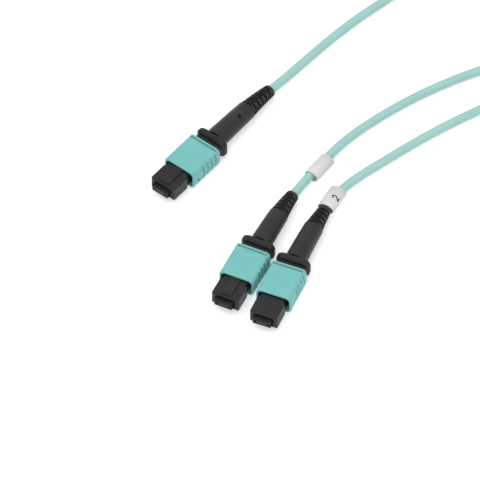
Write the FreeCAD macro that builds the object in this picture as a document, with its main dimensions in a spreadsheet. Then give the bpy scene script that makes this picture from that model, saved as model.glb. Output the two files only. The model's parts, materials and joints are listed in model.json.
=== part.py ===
import FreeCAD, Part
import math
import os

import Sketcher

# A fibre optic Y harness: one trunk cable and two leg cables, each ending in a push-on multi-fibre plug.
# Millimetres, +Z up. The origin is under the middle of the trunk plug's coupling sleeve, on the surface
# that the harness lies on, and +X is the way the trunk plug is pushed in.

Vector = FreeCAD.Vector

SIZES = [
    # coupling sleeve
    ("sleeve_length", 13.9, "length of the sliding sleeve along the plug"),
    ("sleeve_width", 12.4, "width of the sleeve"),
    ("sleeve_height", 7.2, "height of the sleeve"),
    ("sleeve_corner", 1.5, "radius of the sleeve's long corners"),
    ("sleeve_wall", 0.6, "wall of the sleeve"),
    ("sleeve_edge", 0.25, "chamfer of the sleeve's end edges"),
    ("sleeve_travel", 2.0, "how far the sleeve slides back"),
    ("sleeve_end_gap", 0.3, "gap left behind the sleeve when it is back"),
    ("lip_length", 1.1, "rear lip behind the groove"),
    ("lip_groove_width", 0.5, "groove in front of the rear lip"),
    ("lip_groove_depth", 0.3, "depth of that groove"),
    ("lip_groove_span", 9.8, "how far the groove runs across the sleeve"),
    ("grip_count", 5, "chevron grooves on each side"),
    ("grip_pitch", 2.0, "spacing of the chevron grooves"),
    ("grip_width", 0.75, "width of a chevron groove"),
    ("grip_depth", 0.35, "depth of a chevron groove"),
    ("grip_height", 5.0, "height of a chevron groove"),
    ("grip_slant", 1.1, "how far a chevron's point leads its ends"),
    ("shoulder_length", 1.0, "spring shoulder inside the sleeve, along the plug"),
    ("shoulder_height", 1.6, "height of the spring shoulder"),
    ("shoulder_front", 2.0, "front of the spring shoulder, ahead of the sleeve's middle"),
    # inner housing
    ("nose_reach", 8.8, "how far the nose stands ahead of the sleeve"),
    ("nose_width", 9.7, "width of the nose"),
    ("nose_height", 4.85, "height of the housing"),
    ("nose_block", 7.1, "length of the wide front of the nose"),
    ("nose_edge", 0.3, "chamfer round the front of the nose"),
    ("core_width", 8.1, "width of the housing behind the nose"),
    ("key_width", 3.4, "width of the key"),
    ("key_height", 0.45, "height of the key above the nose"),
    ("key_setback", 0.9, "distance of the key from the nose's front"),
    ("stop_length", 1.6, "stop that keeps the sleeve on, along the plug"),
    ("rail_width", 5.0, "width of the rails that carry the sleeve"),
    ("slide_clearance", 0.15, "clearance of the sleeve on its rails"),
    ("side_clearance", 0.4, "clearance of the stop inside the sleeve"),
    ("stop_gap", 0.2, "gap between the stop and the spring shoulder"),
    ("cavity_width", 7.2, "width of the space inside the housing"),
    ("cavity_height", 3.3, "height of the space inside the housing"),
    ("window_width", 6.9, "width of the nose's window"),
    ("window_height", 3.4, "height of the nose's window"),
    ("seat_length", 1.2, "ledge that the ferrule's flange seats on, along the plug"),
    ("seat_clearance", 0.1, "clearance of the ferrule in that ledge"),
    ("snap_length", 1.6, "snap hook that holds the spring push, along the plug"),
    ("snap_height", 1.4, "height of the snap hook"),
    ("snap_setback", 2.2, "distance of the snap hook ahead of the neck"),
    ("snap_clearance", 0.15, "clearance round the snap hook"),
    # ferrule and what pushes it
    ("ferrule_reach", 1.55, "how far the ferrule stands ahead of the nose"),
    ("ferrule_length", 8.0, "length of the ferrule"),
    ("ferrule_width", 6.4, "width of the ferrule"),
    ("ferrule_height", 2.5, "height of the ferrule"),
    ("ferrule_edge", 0.15, "chamfer round the ferrule's face"),
    ("flange_length", 1.9, "length of the ferrule's flange"),
    ("flange_width", 6.9, "width of the flange"),
    ("flange_height", 2.95, "height of the flange"),
    ("seat_gap", 0.1, "gap between the flange and its seat"),
    ("pin_hole_diameter", 0.7, "guide pin holes"),
    ("pin_hole_pitch", 4.6, "distance between the guide pin holes"),
    ("glue_window_length", 2.4, "window on top of the ferrule, along the plug"),
    ("glue_window_width", 3.0, "window on top of the ferrule, across the plug"),
    ("glue_window_depth", 0.5, "depth of that window"),
    ("glue_window_setback", 2.8, "distance of the window from the ferrule's face"),
    ("fibre_boot_width", 3.5, "width of the ferrule boot"),
    ("fibre_boot_height", 1.3, "height of the ferrule boot"),
    ("fibre_boot_length", 5.6, "length of the ferrule boot"),
    ("fibre_boot_depth", 3.0, "how far the ferrule boot goes into the ferrule"),
    ("inner_clearance", 0.08, "clearance of the inner pieces on each other"),
    ("keeper_length", 1.5, "thickness of the pin keeper"),
    ("keeper_width", 6.6, "width of the pin keeper"),
    ("keeper_height", 2.8, "height of the pin keeper"),
    ("oval_spring_width", 6.2, "width of the ferrule spring"),
    ("oval_spring_height", 2.9, "height of the ferrule spring"),
    ("oval_spring_wire", 0.4, "wire of the ferrule spring"),
    ("oval_spring_turns", 4, "turns of the ferrule spring"),
    ("side_spring_clearance", 0.225, "clearance of a coupling spring beside the housing and in the sleeve"),
    ("side_spring_wire", 0.25, "wire of a coupling spring"),
    ("side_spring_turns", 4, "turns of a coupling spring"),
    ("spring_steps", 6, "straight steps in a turn of a spring"),
    ("ribbon_width", 3.1, "width of the fibre ribbon"),
    ("ribbon_height", 0.32, "height of the fibre ribbon"),
    # spring push, crimp and boot
    ("collar_length", 2.5, "length of the collar"),
    ("collar_width", 11.9, "width of the collar"),
    ("collar_height", 7.2, "height of the collar"),
    ("collar_corner", 2.4, "radius of the collar's long corners"),
    ("collar_edge", 0.7, "chamfer of the collar's end edges"),
    ("neck_lap", 0.5, "how far the collar's neck reaches into the sleeve"),
    ("neck_height", 4.0, "height of the collar's neck"),
    ("tongue_length", 8.0, "front of the spring push inside the housing"),
    ("tongue_clearance", 0.15, "clearance of the spring push in the housing"),
    ("passage_width", 3.6, "width of the passage for the ribbon"),
    ("passage_height", 1.1, "height of the passage for the ribbon"),
    ("barrel_length", 5.0, "crimp barrel behind the collar"),
    ("barrel_diameter", 4.4, "outside of the crimp barrel"),
    ("crimp_wall", 0.4, "wall of the crimp sleeve"),
    ("crimp_length", 7.6, "length of the crimp sleeve"),
    ("crimp_setback", 0.4, "distance of the crimp sleeve from the collar"),
    ("boot_base", 7.2, "diameter of the boot at the collar"),
    ("boot_middle", 6.3, "diameter of the boot where its ribs start"),
    ("boot_tail", 4.2, "diameter of the boot's end"),
    ("boot_bend", 3.4, "how far behind the start of the ribs the cable's bend lies"),
    ("boot_lap", 0.4, "how far the bent tail laps the smooth front"),
    ("boot_step", 0.15, "step where the ribs start"),
    ("boot_clearance", 0.25, "clearance of the boot on the crimp and the cable"),
    ("boot_slot_pitch", 1.5, "spacing of the rows of slots in the boot's tail"),
    ("boot_slot_sides", 4, "slots round the boot in each row"),
    ("boot_slot_width", 0.65, "width of a slot"),
    ("boot_slot_core", 0.8, "share of the tail's radius that the slots leave"),
    ("boot_dimple", 1.3, "diameter of the dimple on the boot"),
    ("boot_dimple_depth", 0.25, "depth of that dimple"),
    ("boot_dimple_place", 13.1, "distance of the dimple from the collar"),
    ("boot_dimple_turn", 28.0, "how far the dimple is turned from the top, degrees"),
    ("trunk_boot_front", 16.9, "smooth front of the trunk boot"),
    ("trunk_boot_ribs", 12.5, "ribbed tail of the trunk boot"),
    ("leg_boot_front", 15.8, "smooth front of a leg boot"),
    ("leg_boot_ribs", 9.3, "ribbed tail of a leg boot"),
    # where the plugs lie
    ("leg_one_ahead", 25.66, "leg one's sleeve ahead of the trunk's"),
    ("leg_one_aside", 43.1, "leg one's sleeve beside the trunk's"),
    ("leg_one_turn", 13.9, "leg one's plug turned about the vertical, degrees"),
    ("leg_lag", 1.67, "how far leg two's sleeve lies behind leg one's"),
    ("leg_gap", 1.77, "gap between the sleeves of the legs"),
    ("leg_two_turn", 16.5, "leg two's plug turned about the vertical, degrees"),
    # cables and what is on them
    ("cable_diameter", 3.0, "outside of the cables"),
    ("marker_length", 10.6, "length of a marker sleeve"),
    ("marker_width", 5.2, "width of a marker sleeve, which lies a little flattened"),
    ("marker_height", 4.2, "height of a marker sleeve"),
    ("marker_wall", 0.4, "wall of a marker sleeve"),
    ("leg_one_marker_start", 8.9, "leg one's marker behind its boot"),
    ("leg_two_marker_start", 0.4, "leg two's marker behind its boot"),
    ("coil_radius", 18.0, "radius at the middle of the coil's turns"),
    ("coil_ahead", -140.0, "coil's centre along X"),
    ("coil_aside", 33.0, "coil's centre along Y"),
    ("coil_columns", 3, "turns beside each other in the coil"),
    ("coil_layers", 2, "turns on each other in the coil"),
    ("turn_spacing", 3.1, "distance from turn to turn"),
    ("tie_thickness", 0.5, "thickness of the coil's tie"),
    ("tie_width", 9.0, "width of the tie"),
    ("tie_angle", 75.0, "where the tie sits round the coil, degrees"),
    ("tie_clearance", 0.1, "clearance of the tie round the coil"),
    ("breakout_length", 30.0, "length of the breakout housing"),
    ("breakout_width", 12.4, "width of the breakout housing at the legs"),
    ("breakout_height", 6.4, "height of the breakout housing at the legs"),
    ("breakout_corner", 2.6, "radius of its long corners"),
    ("breakout_edge", 1.3, "chamfer of its trunk end"),
    ("breakout_neck", 5.0, "diameter of its narrow end"),
    ("breakout_neck_length", 9.0, "length of its narrow end"),
    ("breakout_wall", 1.0, "wall of the breakout housing"),
    ("breakout_ahead", -129.7, "middle of the leg end along X"),
    ("breakout_aside", 69.2, "middle of the leg end along Y"),
    ("breakout_turn", 170.0, "direction from the leg end to the trunk end, degrees"),
    ("cap_length", 3.0, "length of the breakout's cap"),
    ("leg_spacing", 5.6, "distance between the legs in the cap"),
    ("cap_clearance", 0.1, "clearance of the cap in the housing"),
]

# Each bend of a cable takes this share of the shorter of its two runs.
ARC_SHARE = 0.45

# Two places closer than this are the same place.
SAME_PLACE = 1e-4

# Routes of the free cables, chosen by hand: each starts behind its boot's smooth front.
TRUNK_ROUTE = [
    (-47.6, 0.3, 1.7),
    (-58.4, 0.6, 1.5),
    (-70.7, 1.2, 1.5),
    (-83.1, 2.4, 1.5),
    (-95.9, 4.7, 1.5),
    (-107.9, 6.7, 1.6),
    (-120.1, 8.3, 3.0),
    (-132.1, 10.2, 4.7),
    (-143.66, 12.22, 5.1),
]
TRUNK_RETURN = [
    (-143.66, 12.22, 2.0),
    (-155.0, 14.2, 1.7),
    (-166.7, 17.6, 1.5),
    (-178.0, 24.8, 1.5),
    (-185.3, 35.8, 1.5),
    (-187.5, 48.6, 1.5),
    (-183.9, 61.0, 1.6),
    (-176.1, 71.4, 2.3),
    (-164.76, 75.38, 3.2),
]
LEG_ONE_ROUTE = [
    (-18.9, 33.6, 2.15),
    (-29.3, 33.0, 2.1),
    (-40.4, 32.7, 1.65),
    (-52.8, 34.6, 1.5),
    (-65.6, 37.7, 1.5),
    (-78.5, 42.1, 1.5),
    (-91.3, 47.9, 1.5),
    (-102.9, 54.5, 1.5),
    (-114.1, 61.1, 1.9),
    (-123.98, 65.35, 3.2),
]
LEG_TWO_ROUTE = [
    (-19.5, 45.4, 2.3),
    (-30.0, 45.9, 1.6),
    (-41.6, 48.5, 1.5),
    (-53.7, 51.2, 1.5),
    (-66.0, 54.6, 1.5),
    (-78.5, 58.9, 1.5),
    (-90.5, 63.6, 1.5),
    (-101.9, 67.7, 1.55),
    (-112.1, 69.6, 2.2),
    (-122.8, 70.83, 3.2),
]

doc = FreeCAD.newDocument("fibre_y_harness")
sheet = doc.addObject("Spreadsheet::Sheet", "dims")
for row, (alias, value, note) in enumerate(SIZES, start=1):
    sheet.set("A%d" % row, note)
    sheet.set("B%d" % row, str(value))
    sheet.setAlias("B%d" % row, alias)
doc.recompute()


def size(expression):
    """The value of an expression in the sheet's names."""
    return float(sheet.evalExpression(expression))


# Places along a plug, from the middle of its sleeve, as expressions of the sheet's cells.
SLEEVE_FRONT = "(dims.sleeve_length / 2)"
SLEEVE_REAR = "(-dims.sleeve_length / 2)"
NOSE_FRONT = "(dims.sleeve_length / 2 + dims.nose_reach)"
COLLAR_FRONT = "(-dims.sleeve_length / 2 - dims.sleeve_travel - dims.sleeve_end_gap)"
COLLAR_REAR = "(%s - dims.collar_length)" % COLLAR_FRONT
TONGUE_FRONT = "(%s + dims.tongue_length)" % COLLAR_FRONT
NECK_FRONT = "(%s + dims.neck_lap)" % SLEEVE_REAR
FERRULE_FRONT = "(%s + dims.ferrule_reach)" % NOSE_FRONT
FERRULE_REAR = "(%s - dims.ferrule_length)" % FERRULE_FRONT
SEAT = "(%s + dims.flange_length + dims.seat_gap)" % FERRULE_REAR
KEEPER_REAR = "(%s - dims.keeper_length)" % FERRULE_REAR
SHOULDER_REAR = "(dims.shoulder_front - dims.shoulder_length)"
STOP_REAR = "(dims.shoulder_front + dims.stop_gap)"
SLEEVE_INNER_WIDTH = "(dims.sleeve_width - 2 * dims.sleeve_wall)"
SLEEVE_INNER_HEIGHT = "(dims.sleeve_height - 2 * dims.sleeve_wall)"
STOP_WIDTH = "(%s - 2 * dims.side_clearance)" % SLEEVE_INNER_WIDTH
RAIL_HEIGHT = "(%s - 2 * dims.slide_clearance)" % SLEEVE_INNER_HEIGHT
TONGUE_WIDTH = "(dims.cavity_width - 2 * dims.tongue_clearance)"
TONGUE_HEIGHT = "(dims.cavity_height - 2 * dims.tongue_clearance)"
CRIMP_OUTSIDE = "(dims.barrel_diameter + 2 * dims.inner_clearance + 2 * dims.crimp_wall)"
CRIMP_REAR = "(%s - dims.crimp_setback - dims.crimp_length)" % COLLAR_REAR
BARREL_REAR = "(%s - dims.barrel_length)" % COLLAR_REAR
CABLE_START = "(%s - dims.inner_clearance)" % BARREL_REAR
AXIS_HEIGHT = "(dims.sleeve_height / 2)"

# Each plug: its place, its turn about the vertical, its roll and its boot's two lengths.
PLUGS = {
    "trunk": ("0", "0", "0", "0", "dims.trunk_boot_front", "dims.trunk_boot_ribs"),
    "leg_one": ("dims.leg_one_ahead", "dims.leg_one_aside", "dims.leg_one_turn", "0",
                "dims.leg_boot_front", "dims.leg_boot_ribs"),
    "leg_two": ("(dims.leg_one_ahead - dims.leg_lag)",
                "(dims.leg_one_aside + dims.sleeve_width + dims.leg_gap)", "dims.leg_two_turn", "180",
                "dims.leg_boot_front", "dims.leg_boot_ribs"),
}
ROUTES = {"trunk": TRUNK_ROUTE, "leg_one": LEG_ONE_ROUTE, "leg_two": LEG_TWO_ROUTE}

pieces = []


def keep(thing, label):
    """Name a finished piece and list it for writing."""
    thing.Label = label
    pieces.append(thing)
    return thing


def new_body(label, plug=None):
    """A body that lies where its plug lies."""
    body = keep(doc.addObject("PartDesign::Body", label), label)
    if plug:
        ahead, aside, turn, roll = PLUGS[plug][:4]
        base = "create(<<vector>>; %s; %s; %s)" % (ahead, aside, AXIS_HEIGHT)
        rotation = "create(<<rotation>>; %s; 0; %s)" % (turn, roll)
        body.setExpression("Placement", "create(<<placement>>; %s; %s)" % (base, rotation))
    return body


def new_sketch(body, role, along, across="0", up="0"):
    """An empty sketch on one of the body's planes, moved along its normal and in its plane."""
    sketch = body.newObject("Sketcher::SketchObject", body.Name + "_sketch")
    plane = [feature for feature in body.Origin.OriginFeatures if feature.Role == role][0]
    sketch.AttachmentSupport = [(plane, "")]
    sketch.MapMode = "FlatFace"
    sketch.setExpression("AttachmentOffset.Base.x", across)
    sketch.setExpression("AttachmentOffset.Base.y", up)
    sketch.setExpression("AttachmentOffset.Base.z", along)
    return sketch


def tie_constraint(sketch, constraint, name, expression):
    """Add a size to a sketch and bind it to the sheet."""
    index = sketch.addConstraint(constraint)
    sketch.renameConstraint(index, name)
    sketch.setExpression("Constraints." + name, expression)


def rectangle(body, along, width, height, radius=None, across="0", up="0", role="YZ_Plane"):
    """A sketch of a rectangle about its own middle, with round corners if a radius is given."""
    sketch = new_sketch(body, role, along, across, up)
    half_w = size(width) / 2
    half_h = size(height) / 2
    r = size(radius) if radius else 0.0
    corners = [(1, -1, 270), (1, 1, 0), (-1, 1, 90), (-1, -1, 180)]
    line_ends = [
        ((-half_w + r, -half_h), (half_w - r, -half_h)),
        ((half_w, -half_h + r), (half_w, half_h - r)),
        ((half_w - r, half_h), (-half_w + r, half_h)),
        ((-half_w, half_h - r), (-half_w, -half_h + r)),
    ]
    lines = []
    arcs = []
    for (start, end), (side_x, side_y, first) in zip(line_ends, corners):
        lines.append(sketch.addGeometry(Part.LineSegment(Vector(*start, 0), Vector(*end, 0)), False))
        if radius:
            centre = Vector(side_x * (half_w - r), side_y * (half_h - r), 0)
            circle = Part.Circle(centre, Vector(0, 0, 1), r)
            quarter = Part.ArcOfCircle(circle, math.radians(first), math.radians(first + 90))
            arcs.append(sketch.addGeometry(quarter, False))
    for number in range(4):
        following = lines[(number + 1) % 4]
        if radius:
            sketch.addConstraint(Sketcher.Constraint("Tangent", lines[number], 2, arcs[number], 1))
            sketch.addConstraint(Sketcher.Constraint("Tangent", arcs[number], 2, following, 1))
        else:
            sketch.addConstraint(Sketcher.Constraint("Coincident", lines[number], 2, following, 1))
    sketch.addConstraint(Sketcher.Constraint("Horizontal", lines[0]))
    sketch.addConstraint(Sketcher.Constraint("Vertical", lines[1]))
    if radius:
        for arc in arcs[1:]:
            sketch.addConstraint(Sketcher.Constraint("Equal", arcs[0], arc))
        tie_constraint(sketch, Sketcher.Constraint("Radius", arcs[0], r), "corner", radius)
    else:
        sketch.addConstraint(Sketcher.Constraint("Horizontal", lines[2]))
        sketch.addConstraint(Sketcher.Constraint("Vertical", lines[3]))
    sketch.addConstraint(Sketcher.Constraint("Symmetric", lines[0], 1, lines[2], 1, -1, 1))
    wide = Sketcher.Constraint("DistanceX", lines[3], 1, lines[1], 1, 2 * half_w)
    tie_constraint(sketch, wide, "width", width)
    tall = Sketcher.Constraint("DistanceY", lines[0], 1, lines[2], 1, 2 * half_h)
    tie_constraint(sketch, tall, "height", height)
    return sketch


def disc(body, along, diameter, across="0", up="0"):
    """A sketch of a circle across the plug."""
    sketch = new_sketch(body, "YZ_Plane", along, across, up)
    middle = Part.Circle(Vector(0, 0, 0), Vector(0, 0, 1), size(diameter) / 2)
    circle = sketch.addGeometry(middle, False)
    sketch.addConstraint(Sketcher.Constraint("Coincident", circle, 3, -1, 1))
    tie_constraint(sketch, Sketcher.Constraint("Diameter", circle, size(diameter)), "across", diameter)
    return sketch


def pad(body, sketch, length):
    """Add material forward from a sketch."""
    feature = body.newObject("PartDesign::Pad", body.Name + "_pad")
    feature.Profile = sketch
    feature.setExpression("Length", length)
    return feature


def pocket(body, sketch, length, forward=True):
    """Take material away, forward from a sketch."""
    feature = body.newObject("PartDesign::Pocket", body.Name + "_pocket")
    feature.Profile = sketch
    feature.Reversed = forward
    feature.setExpression("Length", length)
    return feature


def block(body, rear, front, width, height, radius=None, across="0", up="0"):
    """A straight bar of the plug from one place along it to another."""
    return pad(body, rectangle(body, rear, width, height, radius, across, up), "%s - %s" % (front, rear))


def hollow(body, rear, front, width, height, radius=None, across="0", up="0"):
    """A straight space in the plug from one place along it to another."""
    return pocket(body, rectangle(body, rear, width, height, radius, across, up), "%s - %s" % (front, rear))


def end_edges(feature, places):
    """The names of a solid's edges that lie wholly at given places along the plug."""
    doc.recompute()
    names = []
    for number, edge in enumerate(feature.Shape.Edges, start=1):
        box = edge.BoundBox
        for place in places:
            if abs(box.XMin - place) < SAME_PLACE and abs(box.XMax - place) < SAME_PLACE:
                names.append("Edge%d" % number)
    return names


def ease(body, feature, places, amount):
    """Chamfer the edges of a bar's ends."""
    names = end_edges(feature, [size(place) for place in places])
    eased = body.newObject("PartDesign::Chamfer", body.Name + "_ease")
    eased.Base = (feature, names)
    eased.setExpression("Size", amount)
    return eased


def chevron(body, left):
    """A row of chevron grooves in one side of the sleeve."""
    depth_place = "(dims.sleeve_width / 2 - dims.grip_depth)"
    first = "(%s + dims.lip_length + 2 * dims.lip_groove_width + dims.grip_slant)" % SLEEVE_REAR
    sketch = new_sketch(body, "XZ_Plane", ("-" if left else "") + depth_place, first, "0")
    half = size("dims.grip_height / 2")
    wide = size("dims.grip_width")
    slant = size("dims.grip_slant")
    corners = [(0, -half), (wide, -half), (wide - slant, 0), (wide, half), (0, half), (-slant, 0)]
    lines = []
    for start, end in zip(corners, corners[1:] + corners[:1]):
        lines.append(sketch.addGeometry(Part.LineSegment(Vector(*start, 0), Vector(*end, 0)), False))
    for number, line in enumerate(lines):
        sketch.addConstraint(Sketcher.Constraint("Coincident", line, 2, lines[(number + 1) % 6], 1))
    sketch.addConstraint(Sketcher.Constraint("Horizontal", lines[0]))
    sketch.addConstraint(Sketcher.Constraint("Horizontal", lines[3]))
    sketch.addConstraint(Sketcher.Constraint("Equal", lines[0], lines[3]))
    sketch.addConstraint(Sketcher.Constraint("Symmetric", lines[0], 1, lines[4], 1, -1, 1))
    sketch.addConstraint(Sketcher.Constraint("Vertical", lines[0], 1, lines[4], 1))
    sketch.addConstraint(Sketcher.Constraint("Horizontal", lines[2], 1, lines[5], 1))
    sketch.addConstraint(Sketcher.Constraint("PointOnObject", lines[5], 1, -1))
    ends_wide = Sketcher.Constraint("DistanceX", lines[0], 1, lines[0], 2, wide)
    tie_constraint(sketch, ends_wide, "width", "dims.grip_width")
    tall = Sketcher.Constraint("DistanceY", lines[0], 1, lines[4], 1, 2 * half)
    tie_constraint(sketch, tall, "tall", "dims.grip_height")
    lead = Sketcher.Constraint("DistanceX", lines[5], 1, lines[0], 1, slant)
    tie_constraint(sketch, lead, "slant", "dims.grip_slant")
    middle_wide = Sketcher.Constraint("DistanceX", lines[5], 1, lines[2], 1, wide)
    tie_constraint(sketch, middle_wide, "inner", "dims.grip_width")
    groove = pocket(body, sketch, "dims.grip_depth * 2", forward=not left)
    row = body.newObject("PartDesign::LinearPattern", body.Name + "_row")
    row.Originals = [groove]
    row.Direction = (sketch, ["H_Axis"])
    row.setExpression("Length", "dims.grip_pitch * (dims.grip_count - 1)")
    row.setExpression("Occurrences", "dims.grip_count")
    body.Tip = row
    return row


def coupling_sleeve(plug):
    """The sliding sleeve: a rounded tube with a rear lip, grip chevrons and two inner spring shoulders."""
    body = new_body(plug + "_coupling_sleeve", plug)
    outside = ("dims.sleeve_width", "dims.sleeve_height", "dims.sleeve_corner")
    tube = block(body, SLEEVE_REAR, SLEEVE_FRONT, *outside)
    ease(body, tube, [SLEEVE_REAR, SLEEVE_FRONT], "dims.sleeve_edge")
    inner_corner = "dims.sleeve_corner - dims.sleeve_wall"
    hollow(body, SLEEVE_REAR, SLEEVE_FRONT, SLEEVE_INNER_WIDTH, SLEEVE_INNER_HEIGHT, inner_corner)
    groove_rear = "(%s + dims.lip_length)" % SLEEVE_REAR
    groove_front = "(%s + dims.lip_groove_width)" % groove_rear
    for side in ("1", "-1"):
        middle = "%s * dims.sleeve_height / 2" % side
        hollow(body, groove_rear, groove_front, "dims.lip_groove_span", "2 * dims.lip_groove_depth", None,
               "0", middle)
    reach = "((%s - dims.core_width) / 2 - dims.inner_clearance)" % SLEEVE_INNER_WIDTH
    for side in ("1", "-1"):
        middle = "%s * (%s / 2 - %s / 2 + dims.sleeve_wall / 4)" % (side, SLEEVE_INNER_WIDTH, reach)
        wide = "%s + dims.sleeve_wall / 2" % reach
        block(body, SHOULDER_REAR, "dims.shoulder_front", wide, "dims.shoulder_height", None, middle)
    for left in (True, False):
        chevron(body, left)


def inner_housing(plug):
    """The plug's housing: a hollow bar with a wide nose, its key, the sleeve's stop and its rails."""
    body = new_body(plug + "_inner_housing", plug)
    block(body, NECK_FRONT, NOSE_FRONT, "dims.core_width", "dims.nose_height")
    nose_rear = "(%s - dims.nose_block)" % NOSE_FRONT
    nose = block(body, nose_rear, NOSE_FRONT, "dims.nose_width", "dims.nose_height")
    ease(body, nose, [NOSE_FRONT], "dims.nose_edge")
    stop_front = "(%s + dims.stop_length)" % STOP_REAR
    block(body, STOP_REAR, stop_front, STOP_WIDTH, "dims.nose_height")
    block(body, NECK_FRONT, stop_front, "dims.rail_width", RAIL_HEIGHT)
    key_rear = stop_front
    key_front = "(%s - dims.key_setback)" % NOSE_FRONT
    key_middle = "dims.nose_height / 2"
    block(body, key_rear, key_front, "dims.key_width", "2 * dims.key_height", None, "0", key_middle)
    hollow(body, NECK_FRONT, SEAT, "dims.cavity_width", "dims.cavity_height")
    seat_front = "(%s + dims.seat_length)" % SEAT
    seat_wide = "dims.ferrule_width + 2 * dims.seat_clearance"
    hollow(body, SEAT, seat_front, seat_wide, "dims.ferrule_height + 2 * dims.seat_clearance")
    hollow(body, seat_front, NOSE_FRONT, "dims.window_width", "dims.window_height")
    snap_rear = "(%s + dims.snap_setback - dims.snap_clearance)" % NECK_FRONT
    snap_front = "(%s + dims.snap_length + 2 * dims.snap_clearance)" % snap_rear
    tall = "dims.snap_height + 2 * dims.snap_clearance"
    hollow(body, snap_rear, snap_front, "2 * dims.core_width", tall)


def ferrule(plug):
    """The rectangular ferrule: a flanged block with two guide pin holes, a rear pocket and a top window."""
    body = new_body(plug + "_ferrule", plug)
    bar = block(body, FERRULE_REAR, FERRULE_FRONT, "dims.ferrule_width", "dims.ferrule_height")
    ease(body, bar, [FERRULE_FRONT], "dims.ferrule_edge")
    flange_front = "(%s + dims.flange_length)" % FERRULE_REAR
    block(body, FERRULE_REAR, flange_front, "dims.flange_width", "dims.flange_height")
    for side in ("1", "-1"):
        across = "%s * dims.pin_hole_pitch / 2" % side
        hole = disc(body, FERRULE_REAR, "dims.pin_hole_diameter", across)
        pocket(body, hole, "dims.ferrule_length")
    pocket_front = "(%s + dims.fibre_boot_depth + dims.inner_clearance)" % FERRULE_REAR
    wide = "dims.fibre_boot_width + 2 * dims.inner_clearance"
    tall = "dims.fibre_boot_height + 2 * dims.inner_clearance"
    hollow(body, FERRULE_REAR, pocket_front, wide, tall)
    window_front = "(%s - dims.glue_window_setback)" % FERRULE_FRONT
    window_rear = "(%s - dims.glue_window_length)" % window_front
    hollow(body, window_rear, window_front, "dims.glue_window_width", "2 * dims.glue_window_depth", None,
           "0", "dims.ferrule_height / 2")


def ferrule_boot(plug):
    """The small rubber block that leads the ribbon into the ferrule, slit for the ribbon."""
    body = new_body(plug + "_ferrule_boot", plug)
    front = "(%s + dims.fibre_boot_depth)" % FERRULE_REAR
    rear = "(%s - dims.fibre_boot_length)" % front
    block(body, rear, front, "dims.fibre_boot_width", "dims.fibre_boot_height")
    slit_wide = "dims.ribbon_width + 2 * dims.inner_clearance"
    hollow(body, rear, front, slit_wide, "dims.ribbon_height + 2 * dims.inner_clearance")


def pin_keeper(plug):
    """The plate behind the ferrule, open in the middle for the ferrule boot."""
    body = new_body(plug + "_pin_keeper", plug)
    block(body, KEEPER_REAR, FERRULE_REAR, "dims.keeper_width", "dims.keeper_height")
    wide = "dims.fibre_boot_width + 2 * dims.inner_clearance"
    tall = "dims.fibre_boot_height + 2 * dims.inner_clearance"
    hollow(body, KEEPER_REAR, FERRULE_REAR, wide, tall)


def spring_push(plug):
    """The rear body: a collar with its neck, the tongue behind the ferrule spring, and the crimp barrel."""
    body = new_body(plug + "_spring_push", plug)
    outside = ("dims.collar_width", "dims.collar_height", "dims.collar_corner")
    collar = block(body, COLLAR_REAR, COLLAR_FRONT, *outside)
    ease(body, collar, [COLLAR_REAR, COLLAR_FRONT], "dims.collar_edge")
    neck_corner = "dims.sleeve_corner - dims.sleeve_wall"
    block(body, COLLAR_FRONT, NECK_FRONT, STOP_WIDTH, "dims.neck_height", neck_corner)
    block(body, COLLAR_FRONT, TONGUE_FRONT, TONGUE_WIDTH, TONGUE_HEIGHT)
    snap_rear = "(%s + dims.snap_setback)" % NECK_FRONT
    snap_front = "(%s + dims.snap_length)" % snap_rear
    block(body, snap_rear, snap_front, "dims.core_width - 2 * dims.inner_clearance", "dims.snap_height")
    pad(body, disc(body, BARREL_REAR, "dims.barrel_diameter"), "dims.barrel_length")
    hollow(body, BARREL_REAR, TONGUE_FRONT, "dims.passage_width", "dims.passage_height")


def crimp_sleeve(plug):
    """The metal sleeve over the barrel, drawn in over the cable behind it."""
    body = new_body(plug + "_crimp_sleeve", plug)
    pad(body, disc(body, CRIMP_REAR, CRIMP_OUTSIDE), "dims.crimp_length")
    wide = "dims.barrel_diameter + 2 * dims.inner_clearance"
    barrel_room = "(%s - dims.inner_clearance)" % BARREL_REAR
    crimp_front = "(%s - dims.crimp_setback)" % COLLAR_REAR
    pocket(body, disc(body, barrel_room, wide), "%s - %s" % (crimp_front, barrel_room))
    narrow = "dims.cable_diameter + 2 * dims.inner_clearance"
    pocket(body, disc(body, CRIMP_REAR, narrow), "%s - %s" % (barrel_room, CRIMP_REAR))


def fibre_ribbon(plug):
    """The flat ribbon of fibres from the ferrule to the end of the cable."""
    body = new_body(plug + "_fibre_ribbon", plug)
    rear = "(%s - dims.inner_clearance)" % BARREL_REAR
    front = "(%s + dims.fibre_boot_depth)" % FERRULE_REAR
    block(body, rear, front, "dims.ribbon_width", "dims.ribbon_height")


def plug_placement(plug):
    """Where a plug lies, as its bodies do."""
    ahead, aside, turn, roll = [size(text) for text in PLUGS[plug][:4]]
    return FreeCAD.Placement(Vector(ahead, aside, size(AXIS_HEIGHT)), FreeCAD.Rotation(turn, 0, roll))


def place_feature(label, shape, placement):
    """A piece whose shape is made here, put where it belongs."""
    thing = keep(doc.addObject("Part::Feature", label), label)
    thing.Shape = shape
    thing.Placement = placement
    return thing


def swept(path, section):
    """A closed section carried along a path."""
    shell = Part.BRepOffsetAPI.MakePipeShell(path)
    shell.setTransitionMode(1)
    shell.add(section)
    shell.build()
    shell.makeSolid()
    return shell.shape()


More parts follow.
